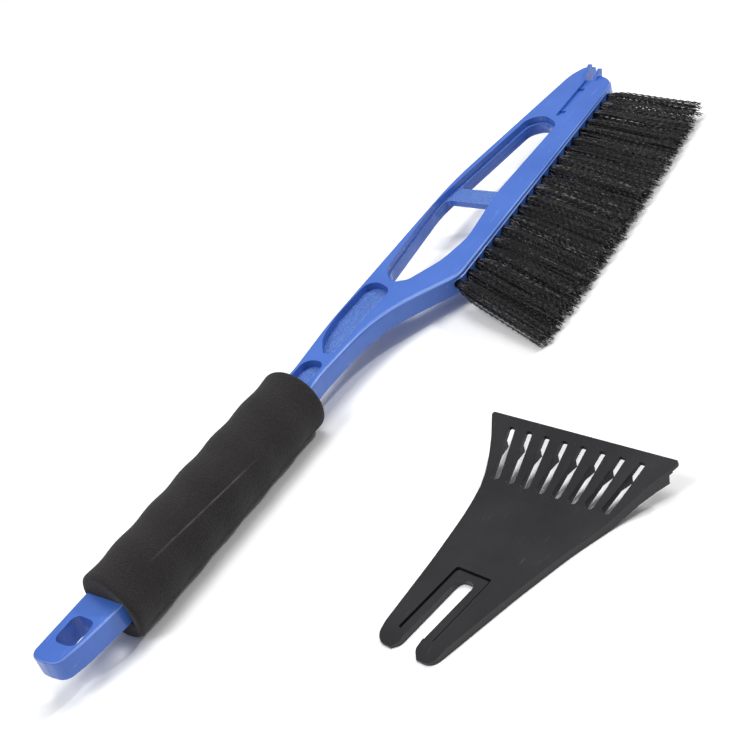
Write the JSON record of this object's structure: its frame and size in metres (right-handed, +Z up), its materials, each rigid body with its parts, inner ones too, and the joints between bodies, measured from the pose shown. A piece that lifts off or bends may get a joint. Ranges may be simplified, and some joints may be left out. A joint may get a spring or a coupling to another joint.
{
  "type": "snow broom with ice scraper",
  "caption": "Flat hand-held snow broom with a windowed plastic head, a foam grip and one row of long leaning bristle tufts, and a separate forked ice scraper blade beside it.",
  "frame": {"origin": "middle of the underside of the box around both pieces, on the floor they lie on", "axes": "+X along the broom from the end of the handle to the tip of the head, +Y away from the scraper and the bristle tips towards the broom's back edge, +Z up from the floor"},
  "size_m": [0.4562, 0.2108, 0.0325],
  "materials": {
    "frame_blue": "satin",
    "grip_foam": "matte",
    "bristle_black": "satin",
    "anchor_steel": "satin",
    "scraper_black": "satin"
  },
  "bodies": {
    "broom": {"broom_frame": "frame_blue", "foam_grip": "grip_foam", "bristle_tuft_01": "bristle_black", "bristle_tuft_02": "bristle_black", "bristle_tuft_03": "bristle_black", "bristle_tuft_04": "bristle_black", "bristle_tuft_05": "bristle_black", "bristle_tuft_06": "bristle_black", "bristle_tuft_07": "bristle_black", "bristle_tuft_08": "bristle_black", "bristle_tuft_09": "bristle_black", "bristle_tuft_10": "bristle_black", "bristle_tuft_11": "bristle_black", "bristle_tuft_12": "bristle_black", "bristle_tuft_13": "bristle_black", "bristle_tuft_14": "bristle_black", "bristle_tuft_15": "bristle_black", "bristle_tuft_16": "bristle_black", "bristle_tuft_17": "bristle_black", "bristle_tuft_18": "bristle_black", "bristle_tuft_19": "bristle_black", "bristle_tuft_20": "bristle_black", "tuft_anchor_01": "anchor_steel", "tuft_anchor_02": "anchor_steel", "tuft_anchor_03": "anchor_steel", "tuft_anchor_04": "anchor_steel", "tuft_anchor_05": "anchor_steel", "tuft_anchor_06": "anchor_steel", "tuft_anchor_07": "anchor_steel", "tuft_anchor_08": "anchor_steel", "tuft_anchor_09": "anchor_steel", "tuft_anchor_10": "anchor_steel", "tuft_anchor_11": "anchor_steel", "tuft_anchor_12": "anchor_steel", "tuft_anchor_13": "anchor_steel", "tuft_anchor_14": "anchor_steel", "tuft_anchor_15": "anchor_steel", "tuft_anchor_16": "anchor_steel", "tuft_anchor_17": "anchor_steel", "tuft_anchor_18": "anchor_steel", "tuft_anchor_19": "anchor_steel", "tuft_anchor_20": "anchor_steel"},
    "scraper": {"ice_scraper": "scraper_black"}
  },
  "joints": [
    {"name": "scraper_lift", "type": "slide", "parent": "broom", "child": "scraper", "axis": [0, 0, 1], "range_m": [0, 0.12]}
  ]
}
